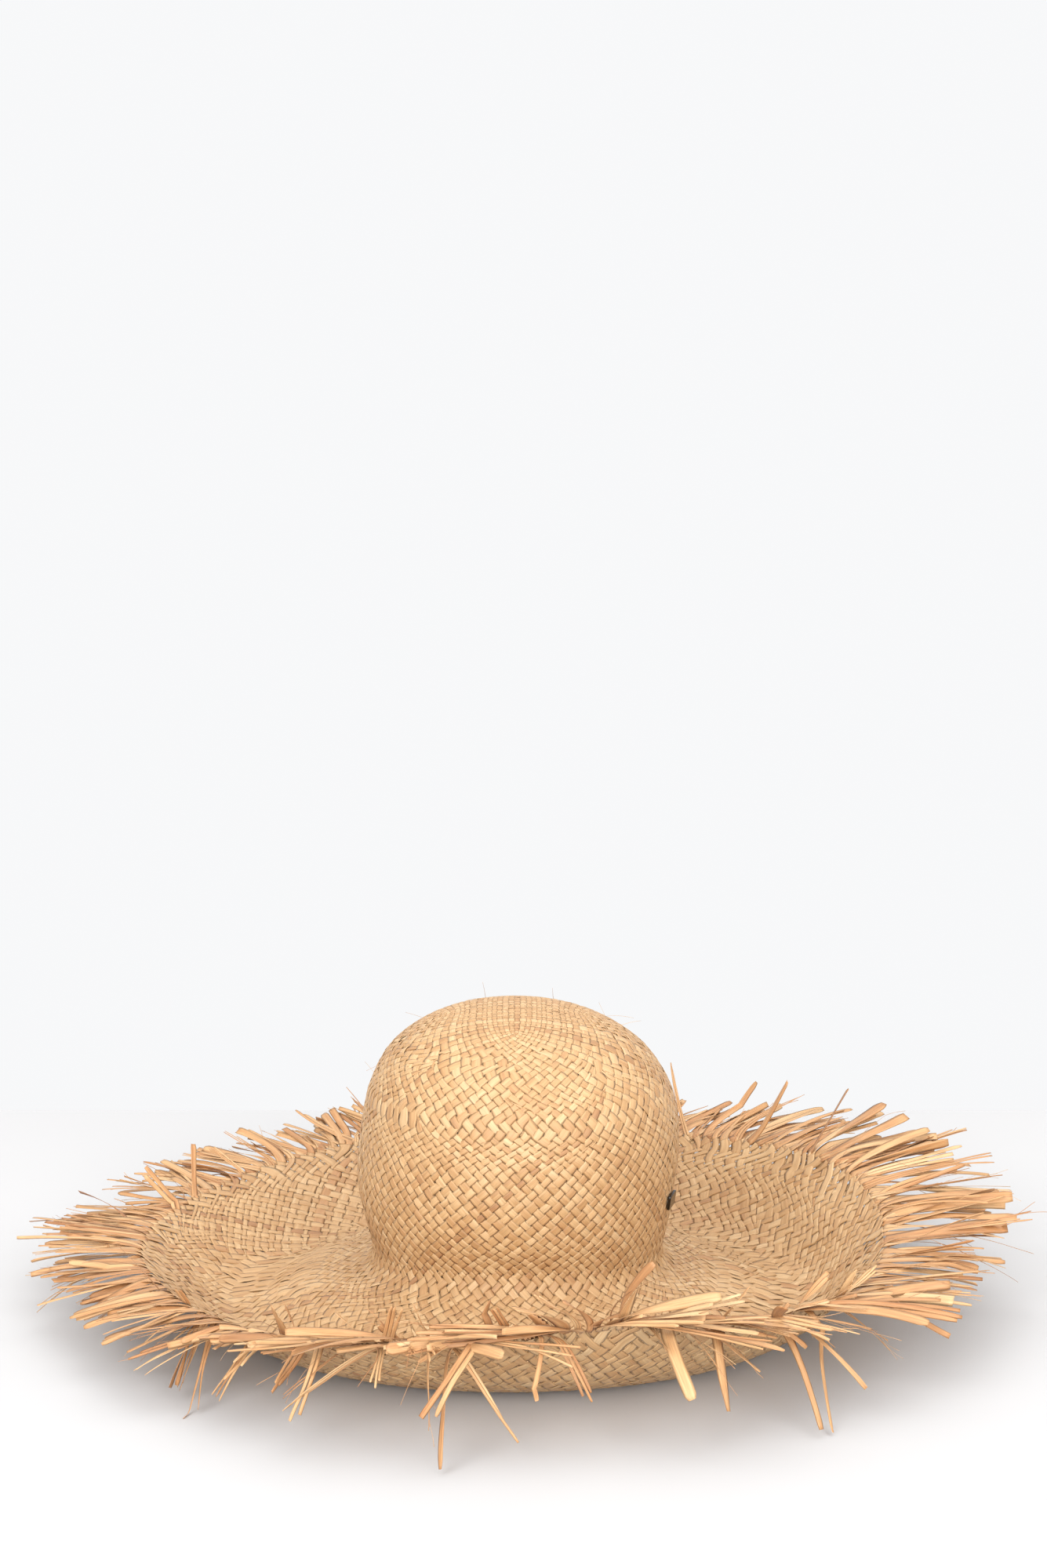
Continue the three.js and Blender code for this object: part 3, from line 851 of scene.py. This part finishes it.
def ribbon_frame(points, normal, twist, facing=None):
    """Side and normal of a ribbon along a free path, carried on from the first normal."""
    sides, normals = [], []
    up = normal
    for t in unit(np.gradient(points, axis=0)):
        if facing is not None:
            up = up + facing * FACING_RATE
        up = up - t * np.dot(up, t)
        up = up / max(np.linalg.norm(up), 1e-9)
        sides.append(np.cross(up, t))
        normals.append(up)
    sides, normals = np.array(sides), np.array(normals)
    roll = (twist * np.linspace(0, 1, len(points)) ** 1.3)[:, None]
    return sides * np.cos(roll) + normals * np.sin(roll), normals * np.cos(roll) - sides * np.sin(roll)


def add_loose(pile, start, heading, normal, side, width, length, pull, weight, facing, tint, habit):
    """One loose ribbon, whole or split into strips from some way along it."""
    strips = int(rng.choice([1, 2, 3], p=habit["split"]))
    kink = rng.uniform(0.4, 1.1) if rng.random() < habit["kink"] else 0.0
    shared = rng.uniform(0.25, 0.7) if strips > 1 else 1.0
    wander = habit["wander"]
    stem, direction = grow(
        start, heading, length * shared, pull, habit["stiff"], weight * shared, wander, kink
    )
    twist = rng.normal(0, habit["twist"])
    whole_width = width * rng.uniform(*habit["width"])
    fold = rng.uniform(0.15, 0.6) * rng.choice([-1, 1]) if rng.random() < 0.45 else rng.normal(0, 0.1)
    for strip in range(strips):
        place = (strip + 0.5) / strips - 0.5
        points = stem
        if strips > 1:
            spread = unit(direction + side * place * rng.uniform(0.1, 0.6) + rng.normal(0, 0.07, 3))
            rest = length * (1 - shared) * rng.uniform(0.7, 1.1)
            more, _ = grow(stem[-1], direction, rest, spread, 0.25, weight, wander)
            points = np.vstack([stem, more[1:]])
        sides, normals = ribbon_frame(points, normal, twist, facing)
        t = np.linspace(0, 1, len(points))
        opening = width + (whole_width - width) * smooth(0, 0.45, t)
        centre = points + sides * (place * opening * 0.98)[:, None]
        half = opening / 2 / strips * (1 + slow_noise(len(points), 7, 0.06))
        half = half * (1 - 0.5 * smooth(0.94, 1, t) * rng.random())
        cup = half * (fold if strips == 1 else fold * 0.4) * smooth(0, 0.3, t)
        half = half * (1 - 0.35 * abs(fold) * smooth(0, 0.3, t))
        own_tint = float(np.clip(tint + rng.normal(0, 0.13), 0, 1))
        # Painted shade: each strip is darkened a little near its root at the woven edge; the rest of its tone
        # is random.
        tone = np.clip(rng.normal(0.0, 0.08) + 0.08 * (1 - smooth(0, 0.35, t)), 0, 1)
        pile.add(centre, sides, normals, half, 0.13, own_tint, tone, cup)
        if rng.random() < 0.14:
            for _ in range(rng.integers(1, 4)):
                at = rng.integers(len(points) // 2, len(points))
                base = centre[at - 1] + sides[at - 1] * half[at - 1] * rng.uniform(-0.9, 0.9)
                along = unit(points[at] - points[at - 1] + rng.normal(0, 0.25, 3) * PATH_STEP)
                fibre, _ = grow(base, along, rng.uniform(6, 16), along, 0.1, 0.03, 0.05)
                fibre_sides, fibre_normals = ribbon_frame(fibre, normals[at - 1], 1.0)
                pile.add(fibre, fibre_sides, fibre_normals, 0.16, 0.07, own_tint, 0.1)


LYING = {
    "split": [0.52, 0.3, 0.18], "kink": 0.12, "stiff": 0.34, "twist": 0.4,
    "width": (0.6, 1.25), "wander": 0.009,
}
MESSY = {
    "split": [0.6, 0.25, 0.15], "kink": 0.45, "stiff": 0.3, "twist": 0.7,
    "width": (0.6, 1.5), "wander": 0.012,
}
HANGING = {
    "split": [0.42, 0.33, 0.25], "kink": 0.3, "stiff": 0.3, "twist": 0.8,
    "width": (0.5, 1.1), "wander": 0.012,
}
UP = np.array([0.0, 0.0, 1.0])


def plan_bunches():
    """Each bunch's way along the edge (right or left), lean, lift and length."""
    bunches = []
    for number in range(BUNCHES):
        across = math.cos(2 * math.pi * (number + 0.5) / BUNCHES)
        to_right = rng.random() < 0.5 + 0.46 * np.clip(across / 0.3, -1, 1)
        bunches.append({
            "way": 1.0 if to_right else -1.0,
            "lean": rng.normal(0, 0.2),
            "lift": rng.normal(0, 0.07),
            "length": rng.uniform(0.8, 1.1),
        })
    return bunches


def flow_at(turn, bunch):
    """Level direction in which a bunch lies: mostly to the hat's two sides, not square to the edge."""
    front, back = max(0.0, -math.sin(turn)), max(0.0, math.sin(turn))
    x = math.cos(turn) + bunch["way"] * (0.95 * front**3 + 0.3 * back**3)
    y = math.sin(turn) * (0.42 - 0.16 * front**2 if front else 0.74)
    angle = math.atan2(y, x) + bunch["lean"] * (1 - 0.6 * front**2) + rng.normal(0, 0.1)
    return np.array([math.cos(angle), math.sin(angle), 0.0])


def loose_end(pile, bunch, family, turn, width, lift, tint, reach):
    """One straw's loose end, from the woven edge at this azimuth."""
    edge_station = HOOD_LENGTH - 0.1
    rate = family / radius_at(edge_station)
    point, normal = surface(np.array([edge_station - 1.1, edge_station]), np.array([turn - rate * 1.1, turn]))
    heading = unit(point[1] - point[0])
    normal = normal[1]
    start = point[1] + normal * (lift * WAVE_HEIGHT - STRAW_THICKNESS / 2)
    out = np.array([math.cos(turn), math.sin(turn), 0.0])
    front, back = max(0.0, -math.sin(turn)), max(0.0, math.sin(turn))
    flow = flow_at(turn, bunch)
    lower_left = math.exp(-(((turn - math.radians(212)) / 0.3) ** 2))
    rise = 0.03 * math.cos(turn) + 0.06 * back - 0.04 * front - 0.28 * lower_left
    pull = flow + UP * (rise + bunch["lift"] + rng.normal(0, 0.05))
    facing = UP + out * (1.5 * front) + rng.normal(0, 0.35, 3)
    length = (77 + 9 * math.cos(turn) - 19 * back) * bunch["length"] * rng.uniform(0.84, 1.06) * reach
    weight = 0.003 + rng.uniform(0, 0.012)
    habit = LYING
    against = heading[0] * flow[0] < 0
    chance = rng.random()
    if front > 0.5:
        hanging = 0.36 if against else 0.06
        if chance < hanging:
            habit = HANGING
            pull = out * 0.3 + flow * rng.uniform(0.0, 0.9) - UP * 0.85
            facing = out + rng.normal(0, 0.5, 3)
            weight = 0.03
            length *= rng.uniform(0.55, 1.12)
        elif chance < hanging + 0.36:
            habit = MESSY
            length *= rng.uniform(0.3, 0.8)
        elif chance < hanging + 0.44:
            habit = MESSY
            pull = flow * 0.7 - out * 0.35 + UP * 0.6
            length *= rng.uniform(0.2, 0.42)
    elif back > 0.3 and chance < 0.05:
        pull = heading * 0.5 + UP * rng.uniform(0.5, 1.0)
        length *= 0.8
    elif chance < 0.08:
        habit = MESSY
    pull, facing = unit(pull), unit(facing)
    side = unit(np.cross(normal, heading))
    add_loose(pile, start, heading, normal, side, width, length, pull, weight, facing, tint, habit)
    if rng.random() < 0.06:
        wisp_pull = unit(pull + rng.normal(0, 0.3, 3))
        wisp, _ = grow(start, heading, length * rng.uniform(0.8, 1.25), wisp_pull, 0.2, 0.02, 0.03, 0.5)
        sides, normals = ribbon_frame(wisp, normal, rng.normal(0, 2))
        half = rng.uniform(0.2, 0.6) * (1 - 0.6 * np.linspace(0, 1, len(wisp)))
        pile.add(wisp, sides, normals, half, 0.1, float(rng.uniform(0, 0.6)), rng.uniform(0.1, 0.8))


def build_fringe(tails):
    piles = [RibbonPile() for _ in range(TUFTS)]
    bunches = plan_bunches()
    for family, turn, width, lift, tint in tails:
        turn = turn % (2 * math.pi)
        bunch = bunches[int(turn / (2 * math.pi) * BUNCHES + rng.normal(0, 0.22)) % BUNCHES]
        pile = piles[int(turn / (2 * math.pi) * TUFTS) % TUFTS]
        loose_end(pile, bunch, family, turn, width, lift, tint, 1.0)
        if rng.random() < SECOND_SHARE:
            beside = turn + rng.normal(0, 0.012)
            under = -LOOSE_HEIGHT * rng.uniform(0.6, 1.0)
            loose_end(pile, bunch, family, beside, width * 0.9, under, straw_tint(), rng.uniform(0.55, 1.0))

    for number, pile in enumerate(piles, start=1):
        piece = pile.build(f"fringe_straws_{number:02d}", fringe_straw)
        stand_for(piece, f"fringe_tuft_{number:02d}")


# ---------------------------------------------------------------- sweatband, stitches, lap and label
BAND_BOTTOM = 44.0
BAND_HEIGHT = 25.0
BAND_THICKNESS = 0.8
BAND_RADII = (86.3, 88.6)
LAP_TURN = math.radians(90)
LABEL_TURN = math.radians(110)
STITCHES = 130
STITCH_HEIGHT = 3.0
STITCH_LENGTH = 2.7


def band_point(turn, up, depth):
    """A point at a depth inside the band's outer face; all three are arrays of one shape."""
    radius = BAND_RADII[0] + (BAND_RADII[1] - BAND_RADII[0]) * up / BAND_HEIGHT
    return settle(radius - depth, turn, BAND_BOTTOM + up)


def mesh_piece(name, points, faces, material, fields=()):
    mesh = bpy.data.meshes.new(name)
    mesh.from_pydata((np.asarray(points) * MM).tolist(), [], [list(map(int, f)) for f in faces])
    mesh.polygons.foreach_set("use_smooth", np.ones(len(mesh.polygons), bool))
    for label, values in fields:
        mesh.attributes.new(label, "FLOAT", "POINT").data.foreach_set("value", np.asarray(values, np.float32))
    mesh.update()
    mesh.materials.append(material)
    return add_object(name, mesh)


def tape(name, turns, low, high, depth, thickness, material, closed=False, puff=0.0):
    """Ribbon with a rounded section, bent like the band. depth is from the band's outer face."""
    rim = thickness * 0.4
    inner = np.linspace(low + rim, high - rim, 9)
    ups = np.concatenate([[low], inner, [high], inner[::-1]])
    deep = np.concatenate([[0.5], np.zeros(9), [0.5], np.ones(9)]) * thickness + depth
    n, k = len(turns), len(ups)
    swell = puff * np.sin(math.pi * np.linspace(0, 1, n))[:, None] * np.sin(
        math.pi * np.clip((ups - low) / (high - low), 0, 1)
    )[None, :]
    wave = 0.0 if not closed else 0.12 * np.sin(turns * 9 + 1)[:, None] * np.sin(turns * 4)[:, None]
    grid_turn = np.repeat(turns[:, None], k, 1)
    grid_up = np.repeat(ups[None, :], n, 0)
    points = band_point(grid_turn, grid_up, deep[None, :] + swell + wave).reshape(-1, 3)
    faces = []
    for i in range(n if closed else n - 1):
        a, b = i * k, ((i + 1) % n) * k
        faces += [(a + j, b + j, b + (j + 1) % k, a + (j + 1) % k) for j in range(k)]
    if not closed:
        for first, flip in ((0, False), ((n - 1) * k, True)):
            strip = [(first, first + 1, first + k - 1)]
            strip += [(first + j, first + j + 1, first + k - j - 1, first + k - j) for j in range(1, 9)]
            strip += [(first + 9, first + 10, first + 11)]
            faces += [f[::-1] if flip else f for f in strip]
    along = np.repeat(turns * BAND_RADII[0], k)
    across = np.tile(ups, n)
    return mesh_piece(name, points, faces, material, (("along", along), ("across", across)))


def stitch_row(name, material):
    """Separate short slanting stitches round the band's inner face, each sunk in at both ends."""
    sides = np.linspace(0, 2 * math.pi, 7)[:-1]
    steps = np.linspace(0, 1, 8)
    points, faces = [], []
    for number in range(STITCHES):
        turn = 2 * math.pi * (number + rng.normal(0, 0.05)) / STITCHES
        slant = rng.normal(0.35, 0.08)
        t = (steps - 0.5) * STITCH_LENGTH
        proud = 0.34 * np.sin(math.pi * steps) ** 0.5 - 0.12
        thick = 0.12 + 0.2 * np.sin(math.pi * steps) ** 0.5
        base = len(points)
        ring_turn = turn + t[:, None] / BAND_RADII[0]
        ring_up = STITCH_HEIGHT + t[:, None] * slant + thick[:, None] * np.cos(sides)
        ring_deep = BAND_THICKNESS + proud[:, None] + thick[:, None] * np.sin(sides) * 0.8
        rings = band_point(np.broadcast_to(ring_turn, ring_up.shape), ring_up, ring_deep)
        points += rings.reshape(-1, 3).tolist()
        for i in range(len(steps) - 1):
            a, b = base + i * 6, base + (i + 1) * 6
            faces += [(a + j, a + (j + 1) % 6, b + (j + 1) % 6, b + j) for j in range(6)]
        faces.append(tuple(base + j for j in range(5, -1, -1)))
        faces.append(tuple(base + 42 + j for j in range(6)))
    return mesh_piece(name, points, faces, material)


def build_sweatband():
    grosgrain = tape_material("grosgrain", (0.74, 0.63, 0.47), 1.15)
    woven_tape = tape_material("woven_tape", (0.86, 0.84, 0.78), 0.5)
    thread = thread_material("cotton_thread", (0.86, 0.79, 0.66), 600)
    round_turns = np.arange(240) * 2 * math.pi / 240
    band = tape(
        "sweatband_tape", round_turns, 0, BAND_HEIGHT, 0, BAND_THICKNESS, grosgrain, closed=True
    )
    stitches = stitch_row("sweatband_stitches", thread)
    lap_half, label_half = 7 / BAND_RADII[0], 10 / BAND_RADII[0]
    lap = tape(
        "sweatband_lap_tape", np.linspace(LAP_TURN - lap_half, LAP_TURN + lap_half, 15),
        5, 24, BAND_THICKNESS + 0.05, 0.6, grosgrain, puff=0.15,
    )
    label = tape(
        "label_tape", np.linspace(LABEL_TURN - label_half, LABEL_TURN + label_half, 21),
        6, 19, BAND_THICKNESS + 0.05, 0.5, woven_tape, puff=0.5,
    )
    stand_for(band, "sweatband")
    stand_for(stitches, "sweatband_stitching")
    stand_for(lap, "sweatband_lap")
    stand_for(label, "size_label")


# ---------------------------------------------------------------- the small CAD pieces
def dress_cad():
    """Better materials on the CAD pieces that stay."""
    steel = (0.5, 0.48, 0.45)
    looks = {
        "badge_plate": metal_material("dark_plate", (0.075, 0.068, 0.062), 0.12, 0.24),
        "badge_prong_back": metal_material("prong_steel", steel, 0.25, 0.45),
        "badge_prong_front": metal_material("prong_steel_2", steel, 0.25, 0.45),
        "badge_washer": metal_material("washer_steel", steel, 0.25, 0.45),
    }
    for name, material in looks.items():
        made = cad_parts[name]
        made = made if hasattr(made, "data") else bpy.data.objects[name]
        made.data.materials.clear()
        made.data.materials.append(material)


# ---------------------------------------------------------------- camera, floor and light
CAMERA_DISTANCE = 1.88
CAMERA_ELEVATION = math.radians(20.9)
CAMERA_LENS = 70.0
CAMERA_SIDE = 0.0036
HAT_BELOW_MIDDLE = math.atan(0.1674)
TABLE_FRONT = -1.3
TABLE_BACK = 0.37
TABLE_HALF = 3.0


def make_camera():
    data = bpy.data.cameras.new("camera")
    camera = add_object("camera", data)
    data.lens = CAMERA_LENS
    data.sensor_width = 36.0
    camera.location = (
        CAMERA_SIDE,
        -CAMERA_DISTANCE * math.cos(CAMERA_ELEVATION),
        CAMERA_DISTANCE * math.sin(CAMERA_ELEVATION),
    )
    pitch = CAMERA_ELEVATION - HAT_BELOW_MIDDLE
    camera.rotation_euler = (math.pi / 2 - pitch, 0, 0)
    bpy.context.scene.camera = camera


def make_stage():
    mesh = bpy.data.meshes.new("table")
    corners = [
        (-TABLE_HALF, TABLE_FRONT, 0), (TABLE_HALF, TABLE_FRONT, 0),
        (TABLE_HALF, TABLE_BACK, 0), (-TABLE_HALF, TABLE_BACK, 0),
    ]
    mesh.from_pydata(corners, [], [(0, 1, 2, 3)])
    mesh.materials.append(floor_material())
    table = add_object("table", mesh)


def area_light(name, location, target, size, power):
    data = bpy.data.lights.new(name, "AREA")
    data.shape = "DISK"
    data.size = size
    data.energy = power
    light = add_object(name, data)
    light.location = location
    aim = np.array(target) - np.array(location)
    aim = aim / np.linalg.norm(aim)
    light.rotation_euler = (math.acos(-aim[2]), 0, math.atan2(aim[1], aim[0]) - math.pi / 2)


def make_light():
    world = bpy.data.worlds.new("studio")
    bpy.context.scene.world = world
    world.use_nodes = True
    background = world.node_tree.nodes["Background"]
    background.inputs["Color"].default_value = (0.985, 0.99, 1.0, 1)
    background.inputs["Strength"].default_value = 0.95
    middle = (0, 0, 0.06)
    area_light("key", (-1.7, -2.3, 2.1), middle, 2.2, 84)
    area_light("fill", (1.6, -2.6, 1.5), middle, 2.2, 66)
    area_light("top", (0.3, 0.4, 2.6), middle, 2.6, 42)
    area_light("low", (-0.2, -3.2, 0.75), middle, 1.4, 50)
    bpy.context.scene.view_settings.view_transform = "Standard"


make_camera()
make_stage()
make_light()
dress_cad()
build_fringe(build_weave())
build_sweatband()
